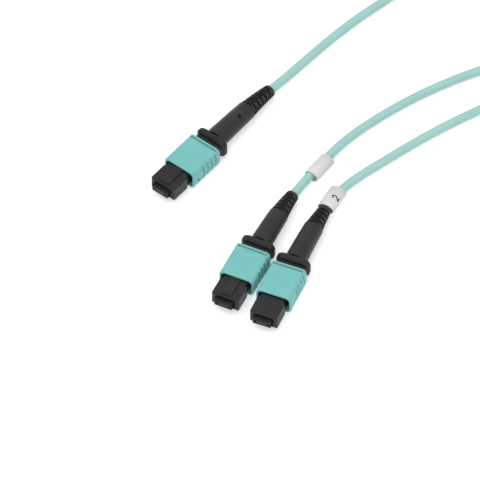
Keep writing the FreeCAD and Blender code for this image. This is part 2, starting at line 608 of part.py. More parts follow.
def spring_wire(points, outward, thickness):
    """A spring's square wire through points round the plug's axis, each with its outward direction."""
    along = Vector(thickness / 2, 0, 0)
    rings = []
    for point, direction in zip(points, outward):
        out = direction * (thickness / 2)
        rings.append([point + out + along, point - out + along, point - out - along, point + out - along])
    faces = [Part.Face(Part.makePolygon(ring + ring[:1])) for ring in (rings[0], rings[-1])]
    for first, second in zip(rings, rings[1:]):
        for side in range(4):
            following = (side + 1) % 4
            for third in (second[following], second[side]):
                start = first[following] if third is second[following] else second[following]
                faces.append(Part.Face(Part.makePolygon([first[side], start, third, first[side]])))
    solid = Part.Solid(Part.makeShell(faces))
    if solid.Volume < 0:
        solid.reverse()
    return solid


def ferrule_spring(plug):
    """The oval spring between the spring push and the pin keeper: straight runs joined by half turns."""
    wire = size("dims.oval_spring_wire")
    rear = size(TONGUE_FRONT) + wire / 2 + size("dims.inner_clearance")
    front = size(KEEPER_REAR) - wire / 2 - size("dims.inner_clearance")
    radius = (size("dims.oval_spring_height") - wire) / 2
    straight = (size("dims.oval_spring_width") - wire) / 2 - radius
    turns = int(size("dims.oval_spring_turns"))
    steps = int(size("dims.spring_steps"))
    points = []
    outward = []
    for number in range(turns * steps + 1):
        angle = 2 * math.pi * (number + 0.5) / steps
        direction = Vector(0, math.cos(angle), math.sin(angle))
        centre = math.copysign(straight, math.cos(angle))
        place = rear + (front - rear) * number / (turns * steps)
        points.append(Vector(place, centre, 0) + direction * radius)
        outward.append(direction)
    place_feature(plug + "_ferrule_spring", spring_wire(points, outward, wire), plug_placement(plug))


def coupling_springs(plug):
    """The pair of coil springs beside the housing that push the sleeve forward."""
    wire = size("dims.side_spring_wire")
    rear = size(NECK_FRONT) + wire / 2 + size("dims.inner_clearance")
    front = size(SHOULDER_REAR) - wire / 2 - size("dims.inner_clearance")
    gap = (size(SLEEVE_INNER_WIDTH) - size("dims.core_width")) / 2
    gap_middle = (size("dims.core_width") + gap) / 2
    radius = (gap - wire) / 2 - size("dims.side_spring_clearance")
    turns = int(size("dims.side_spring_turns"))
    steps = int(size("dims.spring_steps"))
    springs = []
    for side in (1, -1):
        points = []
        outward = []
        for number in range(turns * steps + 1):
            angle = 2 * math.pi * number / steps
            direction = Vector(0, math.cos(angle), math.sin(angle))
            place = rear + (front - rear) * number / (turns * steps)
            points.append(Vector(place, side * gap_middle, 0) + direction * radius)
            outward.append(direction)
        springs.append(spring_wire(points, outward, wire))
    place_feature(plug + "_coupling_springs", Part.makeCompound(springs), plug_placement(plug))


def rounded_path(points):
    """Straight runs joined by tangent arcs, each as large as its two runs allow, and the arcs' radii."""
    corners = [Vector(*point) for point in points]
    edges = []
    radii = []
    start = corners[0]
    for before, corner, after in zip(corners, corners[1:], corners[2:]):
        inward = (before - corner).normalize()
        outward = (after - corner).normalize()
        turn = math.pi - inward.getAngle(outward)
        cut = ARC_SHARE * min((before - corner).Length, (after - corner).Length)
        radius = cut / math.tan(turn / 2)
        first = corner + inward * cut
        last = corner + outward * cut
        bisector = (inward + outward).normalize()
        middle = corner + bisector * (radius / math.cos(turn / 2) - radius)
        edges.append(Part.LineSegment(start, first).toShape())
        edges.append(Part.Arc(first, middle, last).toShape())
        radii.append(radius)
        start = last
    edges.append(Part.LineSegment(start, corners[-1]).toShape())
    return Part.Wire(edges), radii


def along_path(path, distance):
    """The point and direction at a distance along a path."""
    left = distance
    for edge in path.Edges:
        if left <= edge.Length or edge is path.Edges[-1]:
            parameter = edge.getParameterByLength(left)
            return edge.valueAt(parameter), edge.tangentAt(parameter)
        left -= edge.Length
    return edge.valueAt(edge.LastParameter), edge.tangentAt(edge.LastParameter)


def tube(path, diameter):
    """A round tube's solid along a path."""
    start, direction = along_path(path, 0.0)
    ring = Part.Wire(Part.makeCircle(diameter / 2, start, direction))
    return swept(path, ring)


def cable_route(plug):
    """The plug's cable: from its crimp straight through the boot's smooth front, then along its route."""
    placement = plug_placement(plug)
    smooth_end = size("%s - %s" % (COLLAR_REAR, PLUGS[plug][4]))
    first = placement.multVec(Vector(size(CABLE_START), 0, 0))
    second = placement.multVec(Vector(smooth_end - size("dims.boot_bend"), 0, 0))
    return [tuple(first), tuple(second)] + ROUTES[plug]


def report_path(name, path, radii, points, solid):
    """Print a cable's length, its tightest arc and its volume beside the section times the length."""
    section = math.pi * size("dims.cable_diameter") ** 2 / 4
    runs = [math.dist(a, b) for a, b in zip(points, points[1:])]
    print("%s length %.1f radii %s" % (name, path.Length, [round(radius) for radius in radii]))
    print("  runs %s" % [round(run, 1) for run in runs])
    print("  volume %.1f of %.1f" % (solid.Volume, section * path.Length))


def boot(plug):
    """The boot: a tapered sleeve over the crimp, then a slotted tail that bends with the cable."""
    path, _ = rounded_path(cable_route(plug))
    placement = plug_placement(plug)
    collar_rear = size(COLLAR_REAR)
    smooth = size(PLUGS[plug][4])
    ribs = size(PLUGS[plug][5])
    smooth_end = size(CABLE_START) - collar_rear + smooth
    base_radius = size("dims.boot_base") / 2
    middle_radius = size("dims.boot_middle") / 2
    tail_radius = size("dims.boot_tail") / 2
    axis = placement.Rotation.multVec(Vector(-1, 0, 0))
    base = placement.multVec(Vector(collar_rear, 0, 0))
    clearance = size("dims.boot_clearance")
    bore_radius = size("dims.cable_diameter") / 2 + clearance
    crimp_depth = collar_rear - size(CRIMP_REAR) + clearance
    lap = size("dims.boot_lap")
    overlap = 3 * lap
    step = size("dims.boot_step")
    first, _ = along_path(path, smooth_end)
    last, _ = along_path(path, smooth_end + ribs)
    tail_axis = (last - first).normalize()
    front = Part.makeCone(base_radius, middle_radius, smooth, base, axis)
    tail = Part.makeCone(middle_radius - step, tail_radius, ribs + lap, first - tail_axis * lap, tail_axis)
    room = Part.makeCylinder(size(CRIMP_OUTSIDE) / 2 + clearance, crimp_depth, base, axis)
    bore = Part.makeCylinder(bore_radius + step, smooth - 2 * lap, base, axis)
    tail_bore = Part.makeCylinder(bore_radius, ribs + 2 * overlap, first - tail_axis * overlap, tail_axis)
    shape = front.fuse(tail).cut([room, bore, tail_bore])
    width = size("dims.boot_slot_width")
    pitch = size("dims.boot_slot_pitch")
    sides = int(size("dims.boot_slot_sides"))
    turn = FreeCAD.Rotation(Vector(1, 0, 0), tail_axis)
    slots = []
    for number in range(int(ribs / pitch)):
        distance = (number + 1) * pitch - pitch / 2
        outer = middle_radius + (tail_radius - middle_radius) * distance / ribs
        core = max(bore_radius + clearance, outer * size("dims.boot_slot_core"))
        cutter = Part.makeBox(width, 2 * outer, outer, Vector(-width / 2, -outer, core))
        stagger = (number % 2) / 2
        for side in range(sides):
            spin = FreeCAD.Rotation(Vector(1, 0, 0), 360 * (side + stagger) / sides)
            slot = cutter.copy()
            slot.Placement = FreeCAD.Placement(first + tail_axis * distance, turn.multiply(spin))
            slots.append(slot)
    shape = shape.cut(slots)
    dimple_place = size("dims.boot_dimple_place")
    dimple_radius = base_radius + (middle_radius - base_radius) * dimple_place / smooth
    dimple = Part.makeCylinder(size("dims.boot_dimple") / 2, dimple_radius)
    dimple.translate(Vector(collar_rear - dimple_place, 0, dimple_radius - size("dims.boot_dimple_depth")))
    spin = FreeCAD.Rotation(Vector(1, 0, 0), -size("dims.boot_dimple_turn"))
    dimple.Placement = placement.multiply(FreeCAD.Placement(Vector(), spin)).multiply(dimple.Placement)
    place_feature(plug + "_boot", shape.cut(dimple).Solids[0], FreeCAD.Placement())
    return smooth_end + ribs


def coil_height():
    """The lowest and highest place of the coil's turns, which lie on the tie."""
    low = size("dims.tie_thickness")
    spread = size("dims.turn_spacing") * (size("dims.coil_layers") - 1)
    return low, low + spread + size("dims.cable_diameter")


def coil_reach():
    """The coil's inner and outer radius."""
    middle = size("dims.coil_radius")
    spread = size("dims.turn_spacing") * (size("dims.coil_columns") - 1) / 2
    half = size("dims.cable_diameter") / 2
    return middle - spread - half, middle + spread + half


def ring_section(inner, outer, low, high):
    """A rectangle across the coil, on the XZ plane beside the coil's axis."""
    corner = Vector(inner, 0, low)
    return Part.makePlane(outer - inner, high - low, corner, Vector(0, -1, 0), Vector(1, 0, 0))


def trunk_coil():
    """The coil's outer shape, and the tie round it."""
    inner, outer = coil_reach()
    low, high = coil_height()
    centre = Vector(size("dims.coil_ahead"), size("dims.coil_aside"), 0)
    upright = Vector(0, 0, 1)
    ring = ring_section(inner, outer, low, high).revolve(Vector(0, 0, 0), upright, 360)
    place_feature("trunk_coil", ring, FreeCAD.Placement(centre, FreeCAD.Rotation()))
    clearance = size("dims.tie_clearance")
    grown = size("dims.tie_thickness")
    room = ring_section(inner - clearance, outer + clearance, low - clearance, high + clearance)
    band = ring_section(inner - grown, outer + grown, low - grown, high + grown)
    span = math.degrees(size("dims.tie_width") / size("dims.coil_radius"))
    turned = FreeCAD.Rotation(upright, size("dims.tie_angle") - span / 2)
    tie = band.cut(room).Faces[0].revolve(Vector(0, 0, 0), upright, span)
    place_feature("coil_tie", tie, FreeCAD.Placement(centre, turned))


def free_cable(label, points):
    """A cable's plain solid along its route."""
    path, radii = rounded_path(points)
    solid = tube(path, size("dims.cable_diameter"))
    report_path(label, path, radii, points, solid)
    place_feature(label, solid, FreeCAD.Placement())
    return path


def marker(plug, path, start):
    """A loose marker sleeve on a leg's cable, lying along the cable's line."""
    first, _ = along_path(path, start)
    last, _ = along_path(path, start + size("dims.marker_length"))
    direction = last - first
    aside = Vector(0, 0, 1).cross(direction).normalize()
    half_width = size("dims.marker_width") / 2
    half_height = size("dims.marker_height") / 2
    wall = size("dims.marker_wall")
    middle = first + Vector(0, 0, max(0.0, half_height - min(first.z, last.z)))
    upright = direction.cross(aside).normalize()

    def oval(wide, tall):
        edge = Part.Ellipse(middle + aside * wide, middle + upright * tall, middle).toShape()
        return Part.Face(Part.Wire(edge)).extrude(direction)

    shape = oval(half_width, half_height).cut(oval(half_width - wall, half_height - wall))
    place_feature(plug + "_marker", shape, FreeCAD.Placement())


def breakout():
    """The housing where the trunk divides, round at the trunk's end, and the cap for the two legs."""
    length = size("dims.breakout_length")
    neck = size("dims.breakout_neck_length")
    width = size("dims.breakout_width")
    height = size("dims.breakout_height")
    wall = size("dims.breakout_wall")
    cap = size("dims.cap_length")
    clearance = size("dims.cap_clearance")
    cable = size("dims.cable_diameter")
    corner = size("dims.breakout_corner")
    turned = FreeCAD.Rotation(Vector(0, 0, 1), size("dims.breakout_turn"))
    leg_end = Vector(size("dims.breakout_ahead"), size("dims.breakout_aside"), height / 2)
    place = FreeCAD.Placement(leg_end, turned)

    def rounded_bar(low, high, wide, tall, radius):
        bar = Part.makeBox(high - low, wide, tall, Vector(low, -wide / 2, -tall / 2))
        long_edges = [edge for edge in bar.Edges if edge.BoundBox.XLength > 0.5 * (high - low)]
        return bar.makeFillet(radius, long_edges)

    body_end = length - neck
    body = rounded_bar(0, body_end, width, height, corner)
    ends = [edge for edge in body.Edges if edge.BoundBox.XMin > body_end - SAME_PLACE]
    body = body.makeChamfer(size("dims.breakout_edge"), ends)
    spout_radius = size("dims.breakout_neck") / 2
    forward = Vector(1, 0, 0)
    spout = Part.makeCylinder(spout_radius, neck + wall, Vector(body_end - wall, 0, 0), forward)
    room = rounded_bar(0, body_end - 2 * wall, width - 2 * wall, height - 2 * wall, corner - wall)
    bore = Part.makeCylinder(cable / 2 + clearance, length, Vector(0, 0, 0), forward)
    housing = body.fuse(spout).cut(room).cut(bore)
    place_feature("breakout_housing", housing.removeSplitter(), place)
    margin = 2 * wall + 2 * clearance
    lid = rounded_bar(0, cap, width - margin, height - margin, corner - wall)
    beside = size("dims.leg_spacing") / 2
    holes = []
    for side in (1, -1):
        holes.append(Part.makeCylinder(cable / 2 + clearance, cap, Vector(0, side * beside, 0), forward))
    place_feature("breakout_cap", lid.cut(holes), place)
    trunk_end = place.multVec(Vector(length - neck / 2, 0, 0))
    leg_ends = [place.multVec(Vector(cap, side * beside, 0)) for side in (1, -1)]
    return trunk_end, leg_ends


for plug in PLUGS:
    coupling_sleeve(plug)
    inner_housing(plug)
    ferrule(plug)
    ferrule_boot(plug)
    pin_keeper(plug)
    ferrule_spring(plug)
    coupling_springs(plug)
    spring_push(plug)
    crimp_sleeve(plug)
    fibre_ribbon(plug)

boot_ends = {plug: boot(plug) for plug in PLUGS}
trunk_end, leg_ends = breakout()
free_cable("trunk_cable", cable_route("trunk"))
free_cable("trunk_return_cable", TRUNK_RETURN + [tuple(trunk_end)])
leg_one_path = free_cable("leg_one_cable", cable_route("leg_one") + [tuple(leg_ends[0])])
leg_two_path = free_cable("leg_two_cable", cable_route("leg_two") + [tuple(leg_ends[1])])
marker("leg_one", leg_one_path, boot_ends["leg_one"] + size("dims.leg_one_marker_start"))
marker("leg_two", leg_two_path, boot_ends["leg_two"] + size("dims.leg_two_marker_start"))
trunk_coil()

doc.recompute()
for thing in doc.Objects:
    bad = [state for state in thing.State if state in ("Invalid", "Error")]
    if bad:
        raise RuntimeError("%s is %s" % (thing.Label, bad))
for piece in pieces:
    if piece.Shape.isNull() or not piece.Shape.isValid():
        raise RuntimeError("%s has no valid shape" % piece.Label)

os.makedirs("parts", exist_ok=True)
for piece in pieces:
    piece.Shape.exportStep(os.path.join("parts", piece.Label + ".step"))
print("%d pieces written" % len(pieces))
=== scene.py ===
# %% [markdown]
# A fibre optic Y harness lies on a white table: one trunk cable and two leg cables, each with a
# push-on plug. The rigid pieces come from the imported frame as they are. This script adds the
# cables, the small marks and every finish.

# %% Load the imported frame
import json
import math

import bpy
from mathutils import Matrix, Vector


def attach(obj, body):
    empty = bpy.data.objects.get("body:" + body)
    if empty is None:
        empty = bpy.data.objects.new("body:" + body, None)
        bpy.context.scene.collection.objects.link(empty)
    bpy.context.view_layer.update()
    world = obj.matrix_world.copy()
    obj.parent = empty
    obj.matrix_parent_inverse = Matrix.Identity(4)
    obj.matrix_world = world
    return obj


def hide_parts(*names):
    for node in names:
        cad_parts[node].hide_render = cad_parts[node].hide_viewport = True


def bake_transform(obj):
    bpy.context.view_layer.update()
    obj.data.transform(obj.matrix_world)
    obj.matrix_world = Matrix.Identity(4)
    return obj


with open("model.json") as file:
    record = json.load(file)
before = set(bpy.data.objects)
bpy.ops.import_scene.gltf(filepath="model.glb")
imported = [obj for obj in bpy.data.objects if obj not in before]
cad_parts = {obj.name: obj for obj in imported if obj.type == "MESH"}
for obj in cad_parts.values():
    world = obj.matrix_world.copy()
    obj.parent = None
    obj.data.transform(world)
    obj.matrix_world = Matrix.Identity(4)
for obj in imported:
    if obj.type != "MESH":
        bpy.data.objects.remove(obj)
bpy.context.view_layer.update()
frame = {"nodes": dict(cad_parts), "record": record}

scene = bpy.context.scene
scene.view_settings.view_transform = "Standard"

# %% [markdown]
# The photograph is a product shot from far away with a long lens, so lines that are parallel on the
# harness stay nearly parallel in the picture. An orthographic camera comes close to that and has
# few values to find. Its width and its two angles were measured from the plugs.

# %% Place the camera
view_width = 0.1589
look_at = Vector((0.0145, 0.03197, 0.0))
camera_turn = math.radians(38.92)
camera_lift = math.radians(49.56)
camera_distance = 0.6
towards_camera = Vector((
    math.cos(camera_lift) * math.cos(camera_turn),
    math.cos(camera_lift) * math.sin(camera_turn),
    math.sin(camera_lift),
))


def add_object(name, data):
    """Put a new object in the scene."""
    thing = bpy.data.objects.new(name, data)
    scene.collection.objects.link(thing)
    return thing


camera_data = bpy.data.cameras.new("camera")
camera_data.type = "ORTHO"
camera_data.ortho_scale = view_width
camera = add_object("camera", camera_data)
camera.location = look_at + towards_camera * camera_distance
camera.rotation_euler = towards_camera.to_track_quat("Z", "Y").to_euler()
scene.camera = camera
print("camera at", [round(value, 3) for value in camera.location])

# %% [markdown]
# Each cable is a round jacket that lies where it was put. A NURBS curve with a round bevel is the
# natural tool: a few control points give one smooth line, and the bevel gives the jacket. Outside
# the coil, the points are the same route that the solids follow.

# %% The routes of the legs
leg_one_route = [
    (0.009323, 0.039057, 0.0036),
    (-0.004384, 0.035665, 0.0036),
    (-0.0189, 0.0336, 0.00215),
    (-0.0293, 0.0330, 0.0021),
    (-0.0404, 0.0327, 0.00165),
    (-0.0528, 0.0346, 0.0015),
    (-0.0656, 0.0377, 0.0015),
    (-0.0785, 0.0421, 0.0015),
    (-0.0913, 0.0479, 0.0015),
    (-0.1029, 0.0545, 0.0015),
    (-0.1141, 0.0611, 0.0019),
    (-0.12398, 0.06535, 0.0032),
    (-0.133141, 0.066963, 0.0032),
]
leg_two_route = [
    (0.007853, 0.05249, 0.0036),
    (-0.005685, 0.04848, 0.0036),
    (-0.0195, 0.0454, 0.0023),
    (-0.03, 0.0459, 0.0016),
    (-0.0416, 0.0485, 0.0015),
    (-0.0537, 0.0512, 0.0015),
    (-0.066, 0.0546, 0.0015),
    (-0.0785, 0.0589, 0.0015),
    (-0.0905, 0.0636, 0.0015),
    (-0.1019, 0.0677, 0.00155),
    (-0.1121, 0.0696, 0.0022),
    (-0.1228, 0.07083, 0.0032),
    (-0.132168, 0.072478, 0.0032),
]
print("leg points:", len(leg_one_route), len(leg_two_route))

# %% [markdown]
# Most of the trunk is out of the picture, put away as a neat coil that a tie holds. Its solid is
# one plain ring, and here its turns are drawn. They lie in three columns and two layers. The cable
# comes in at the top of the outer column, winds inwards, drops to the lower layer and winds out
# again. One turn at a time steps over to the next place, so no turn ever runs through another.

# %% The trunk's route with its coil
trunk_to_coil = [
    (-0.01683, 0.0, 0.0036),
    (-0.03205, 0.0, 0.0036),
    (-0.0476, 0.0003, 0.0017),
    (-0.0584, 0.0006, 0.0015),
    (-0.0707, 0.0012, 0.0015),
    (-0.0831, 0.0024, 0.0015),
    (-0.0959, 0.0047, 0.0015),
    (-0.1079, 0.0067, 0.0016),
    (-0.1201, 0.0083, 0.003),
    (-0.1321, 0.0102, 0.0047),
]
coil_to_breakout = [
    (-0.155, 0.0142, 0.0017),
    (-0.1667, 0.0176, 0.0015),
    (-0.178, 0.0248, 0.0015),
    (-0.1853, 0.0358, 0.0015),
    (-0.1875, 0.0486, 0.0015),
    (-0.1839, 0.061, 0.0016),
    (-0.1761, 0.0714, 0.0023),
    (-0.16476, 0.07538, 0.0032),
    (-0.154813, 0.073628, 0.0032),
]
coil_centre = Vector((-0.1400, 0.0330))
outer_turn, middle_turn, inner_turn = 0.0211, 0.0180, 0.0149
lower_layer, upper_layer = 0.0020, 0.0051
coil_places = [
    (outer_turn, upper_layer),
    (middle_turn, upper_layer),
    (inner_turn, upper_layer),
    (inner_turn, lower_layer),
    (middle_turn, lower_layer),
    (outer_turn, lower_layer),
]
coil_start = math.radians(260)
points_per_turn = 18
step_length = 0.17
last_step_start = 0.80


def coil_points():
    """Control points of the coil's turns, clockwise from where the trunk comes in."""
    reach = 1 / math.cos(math.pi / points_per_turn)
    points = []
    for turn in range(len(coil_places) - 1):
        step_start = last_step_start - step_length * turn
        for number in range(points_per_turn):
            share = number / points_per_turn
            blend = min(1.0, max(0.0, (share - step_start) / step_length))
            (radius, height), (next_radius, next_height) = coil_places[turn], coil_places[turn + 1]
            angle = coil_start - 2 * math.pi * share
            far = (radius + (next_radius - radius) * blend) * reach
            spot = coil_centre + Vector((math.cos(angle), math.sin(angle))) * far
            points.append((spot.x, spot.y, height + (next_height - height) * blend))
    last = coil_centre + Vector((math.cos(coil_start), math.sin(coil_start))) * outer_turn * reach
    points.append((last.x, last.y, lower_layer))
    return points


trunk_route = trunk_to_coil + coil_points() + coil_to_breakout
print("trunk points:", len(trunk_route))

# %% [markdown]
# The jacket's radius sits on the control points and the bevel multiplies it by one. The look is the
# same the other way round, but then Blender's own box round a curve would be a metre too wide on
# every side.

# %% Draw the cables
cable_radius = 0.0015
bevel_steps, steps_between_points, curve_order = 6, 8, 3


def cable(name, route):
    """A round cable along one smooth NURBS line."""
    curve = bpy.data.curves.new(name, "CURVE")
    curve.dimensions = "3D"
    curve.bevel_depth = 1.0
    curve.bevel_resolution = bevel_steps
    curve.resolution_u = steps_between_points
    curve.use_fill_caps = True
    line = curve.splines.new("NURBS")
    line.points.add(len(route) - 1)
    for point, place in zip(line.points, route):
        point.co = (*place, 1.0)
        point.radius = cable_radius
    line.order_u = curve_order
    line.use_endpoint_u = True
    return add_object(name, curve)


trunk_cord = cable("trunk_cord", trunk_route)
leg_one_cord = cable("leg_one_cord", leg_one_route)
leg_two_cord = cable("leg_two_cord", leg_two_route)
for cord, solids in (
    (trunk_cord, ("trunk_cable", "trunk_coil", "trunk_return_cable")),
    (leg_one_cord, ("leg_one_cable",)),
    (leg_two_cord, ("leg_two_cable",)),
):
    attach(cord, "harness")
    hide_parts(*solids)
print("cables drawn with a radius of", cable_radius)

# %% [markdown]
# Several pieces sit on a cable, so they need to know where its middle runs. A copy of the curve
# without its bevel turns into a plain line of points, and a walk along them gives the place and the
# heading at any distance from the plug.

# %% The middle line of a cable
def middle_line(cord):
    """Points along the middle of a cable, read from its own curve."""
    thin = cord.data.copy()
    thin.bevel_depth = 0
    thread = bpy.data.objects.new("thread", thin)
    line = bpy.data.meshes.new_from_object(thread)
    points = [vertex.co.copy() for vertex in line.vertices]
    bpy.data.objects.remove(thread)
    bpy.data.curves.remove(thin)
    bpy.data.meshes.remove(line)
    return points


def walk(points, distance):
    """The place and the heading at a distance along a line of points, also before its start."""
    for first, second in zip(points, points[1:]):
        run = (second - first).length
        if distance <= run:
            return first + (second - first) * (distance / run), (second - first).normalized()
        distance -= run
    return points[-1], (points[-1] - points[-2]).normalized()


print("points along leg one:", len(middle_line(leg_one_cord)))

# %% [markdown]
# Markers, boots and sleeves are all made in one way: rings of points are placed one behind the
# other, and faces join each ring to the next. That gives full command of every groove, and the
# surface stays one closed, smooth skin.

# %% A skin over rings of points
crease_angle = math.radians(50)
up = Vector((0, 0, 1))


def skin(name, rings, joined, shade_paint=()):
    """A smooth skin over rings of points. A joined one turns back inside and meets its first ring.
    Shade paint gives, point by point, how much painted shade a finish lays on the skin there, from
    0 to 1."""
    count = len(rings[0])
    faces = []
    for number in range(len(rings) if joined else len(rings) - 1):
        here, following = number * count, (number + 1) % len(rings) * count
        for place in range(count):
            beside = (place + 1) % count
            faces.append((here + place, here + beside, following + beside, following + place))
    mesh = bpy.data.meshes.new(name)
    mesh.from_pydata([spot for ring in rings for spot in ring], [], faces)
    for face in mesh.polygons:
        face.use_smooth = True
    mesh.set_sharp_from_angle(angle=crease_angle)
    # Painted shade for grooves and slots is stored on the points, for the finish to read.
    if shade_paint:
        mesh.attributes.new("painted_shade", "FLOAT", "POINT").data.foreach_set("value", shade_paint)
    return add_object(name, mesh)


def cross_frame(heading):
    """The level direction across a heading and the one that points up from it."""
    aside = heading.cross(up).normalized()
    return aside, aside.cross(heading)


def turns_round(count):
    """Angles that go once round in even steps."""
    return [2 * math.pi * number / count for number in range(count)]


print("edges over", round(math.degrees(crease_angle)), "degrees stay sharp")

# %% [markdown]
# Each leg has a white marker sleeve, a short piece of soft tube that is a good deal wider than the
# cable. The first one hangs loose further along. The second is pushed up to its boot and stays in
# line with it, so the cable leaves it at one side. Each is a skin that runs out along the oval
# outside and back along the bore.

# %% Marker sleeves
marker_length, marker_wall, marker_rim = 0.0096, 0.0003, 0.0001
marker_half_height, narrow_marker, wide_marker = 0.00208, 0.0026, 0.00295
marker_points = 64


def make_marker(leg, cord, start, lined_up_over, half_width, shift):
    """A marker sleeve on a leg, and where its near end is and how it lies."""
    line = middle_line(cord)
    near = walk(line, start)[0]
    way = (walk(line, start + lined_up_over)[0] - near).normalized()
    aside, upright = cross_frame(way)
    near += aside * shift
    outside = [(0, marker_rim), (marker_rim, 0)]
    outside += [(marker_length - marker_rim, 0), (marker_length, marker_rim)]
    bore = [(marker_length, marker_wall), (0, marker_wall)]
    rings = []
    for along, inset in outside + bore:
        middle, wide, high = near + way * along, half_width - inset, marker_half_height - inset
        rings.append([
            middle + aside * math.sin(turn) * wide + upright * math.cos(turn) * high
            for turn in turns_round(marker_points)
        ])
    piece = skin(leg + "_marker_tube", rings, joined=True)
    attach(piece, "harness")
    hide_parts(leg + "_marker")
    off = walk(line, start + marker_length)[0] - (near + way * marker_length)
    off_in_mm = [round(1000 * off.dot(direction), 2) for direction in (aside, upright)]
    print(leg, "cable leaves its marker beside the middle by", off_in_mm, "mm")
    return piece, near, way


leg_one_tube, _, _ = make_marker(
    "leg_one", leg_one_cord,
    start=0.0302, lined_up_over=marker_length, half_width=narrow_marker, shift=0.0005,
)
leg_two_tube, near_end, reading_way = make_marker(
    "leg_two", leg_two_cord,
    start=0.0204, lined_up_over=0.0006, half_width=wide_marker, shift=0.0,
)

# %% [markdown]
# The second leg carries a plain 2, printed on its white marker sleeve so that it reads along the
# cable. Print is a very thin layer of ink. Here one ribbon of ink follows the figure's line, and
# each of its points is laid on the sleeve's oval surface.

# %% The printed number
ink_lift = 0.00003
ink_width = 0.00042
figure_half_width, figure_half_height = 0.00065, 0.00110
figure_share, figure_lean = 0.49, math.radians(30)
bow_share, bow_first, bow_sweep = 0.92, 170, 205
bow_steps, stroke_steps = 12, 8
mitre_floor = 0.45


def figure_line():
    """The middle line of a figure 2: a bow, a slanted stroke and a foot."""
    bow = bow_share * figure_half_width
    top = figure_half_height - bow
    line = []
    for number in range(bow_steps + 1):
        angle = math.radians(bow_first - bow_sweep * number / bow_steps)
        line.append(Vector((bow * math.cos(angle), top + bow * math.sin(angle))))
    for side in (-1, 1):
        start, end = line[-1], Vector((side * figure_half_width, -figure_half_height))
        line += [start.lerp(end, (number + 1) / stroke_steps) for number in range(stroke_steps)]
    return line


def ribbon_sides(line, width):
    """The two sides of a flat ribbon along a line, mitred at its corners."""
    left, right = [], []
    for number, point in enumerate(line):
        before = (point - line[max(number - 1, 0)]).normalized()
        after = (line[min(number + 1, len(line) - 1)] - point).normalized()
        along = (before + after).normalized()
        normal = Vector((-along.y, along.x))
        first_way = after if number == 0 else before
        mitre = 1 / max(mitre_floor, abs(normal.dot(Vector((-first_way.y, first_way.x)))))
        left.append(point + normal * width / 2 * mitre)
        right.append(point - normal * width / 2 * mitre)
    return left, right


camera_side, upright = cross_frame(reading_way)
figure_middle = near_end + reading_way * marker_length * figure_share


def on_sleeve(point):
    """A point of the figure laid on the marker sleeve."""
    turn = figure_lean - 2 * point.y / (wide_marker + marker_half_height)
    out = camera_side * math.sin(turn) * (wide_marker + ink_lift)
    out += upright * math.cos(turn) * (marker_half_height + ink_lift)
    return figure_middle + reading_way * point.x + out


left_side, right_side = ribbon_sides(figure_line(), ink_width)
count = len(left_side)
ink_mesh = bpy.data.meshes.new("leg_two_number")
ink_mesh.from_pydata(
    [on_sleeve(point) for point in left_side + right_side], [],
    [(count + first, count + first + 1, first + 1, first) for first in range(count - 1)],
)
number_ink = add_object("leg_two_number", ink_mesh)
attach(number_ink, "harness")
print("number at", [round(value, 4) for value in figure_middle])

# %% [markdown]
# The trunk ends at the breakout after its coil, and the legs end there too.

nodes = frame["nodes"]

# %% [markdown]
# The record says where each plug's ferrule face is and which way the plug points. Whatever is made
# for a plug from here on takes its place from those two.

# %% The plugs' places
plugs = ("trunk", "leg_one", "leg_two")
mounts = {mount["name"]: mount for mount in frame["record"]["mounts"]}


def plug_axis(plug):
    """The middle of a plug's ferrule face, and the way that the plug points."""
    mount = mounts[plug + "_plug"]
    return Vector(mount["pos_m"]), Vector(mount["axis"])


for plug in plugs:
    print(plug, "ferrule face at", [round(value, 4) for value in plug_axis(plug)[0]])

# %% [markdown]
# A boot keeps the cable from kinking where it leaves the plug. It is soft rubber: smooth in front,
# then a tail of close ribs joined by small bridges, each row of slots turned a quarter from the
# last, so that the tail bends every way. The solid has a few wide slots. Here the boot is swept
# along its cable with the fine ribs of the photograph: rings of points round the cable's own line,
# pulled inwards where a slot lies.

# %% The outside of a boot
boot_radii = {"base": 0.00358, "middle": 0.00318, "tail": 0.00210}
boot_flat, boot_wide = 0.985, 1.06
boot_step = 0.00015
rib_pitch, slot_width, slot_depth = 0.00100, 0.00052, 0.00105
slot_edge, slot_floor = 0.25 * slot_width, cable_radius * 1.10
bridge_reach, bridge_edge = 0.93, 0.08
dimple_place, dimple_turn = 0.0115, math.radians(28)
# The dimple's last number is the share of painted shade on its floor.
dimple_radius, dimple_depth, dimple_edge, dimple_shade_paint = 0.00085, 0.00070, 0.5, 0.5


def soft_step(value):
    """A smooth rise from 0 to 1."""
    value = min(1.0, max(0.0, value))
    return value * value * (3 - 2 * value)


def boot_outside(place, turn, smooth, ribs, dimple):
    """The boot's radius at a place behind its collar and a turn from its top, and how much painted
    shade it gets there.
    """
    if place <= smooth:
        radius = boot_radii["base"] + (boot_radii["middle"] - boot_radii["base"]) * place / smooth
        if not dimple:
            return radius, 0.0
        aside = (turn - dimple_turn + math.pi) % (2 * math.pi) - math.pi
        off = math.hypot(place - dimple_place, aside * radius)
        pressed = soft_step((1 - off / dimple_radius) / dimple_edge)
        # The dimple's floor gets painted shade.
        return radius - dimple_depth * pressed, dimple_shade_paint * pressed
    along = place - smooth
    shrink = boot_radii["tail"] - boot_radii["middle"] + boot_step
    radius = boot_radii["middle"] - boot_step + shrink * along / ribs
    row = int(along / rib_pitch)
    if (row + 1) * rib_pitch > ribs - slot_width:
        return max(radius, slot_floor), 0.0
    from_middle = abs(along - (row + 0.5) * rib_pitch)
    in_row = soft_step((slot_width / 2 - from_middle) / slot_edge + 0.5)
    quarter = math.pi / 2 * (row % 2) + math.pi / 4
    open_here = soft_step((bridge_reach - abs(math.cos(turn - quarter))) / bridge_edge + 0.5)
    # A slot's floor gets painted shade, as much as the slot is open there.
    return max(radius - slot_depth * in_row * open_here, slot_floor), in_row * open_here


print("slots are", slot_width, "wide and", rib_pitch, "apart")

# %% Sweep the boots
boot_from_cable_start = 0.00508
boot_hole = cable_radius * 1.06
boot_points = 96
fine_step, coarse_step = 0.00006, 0.0002


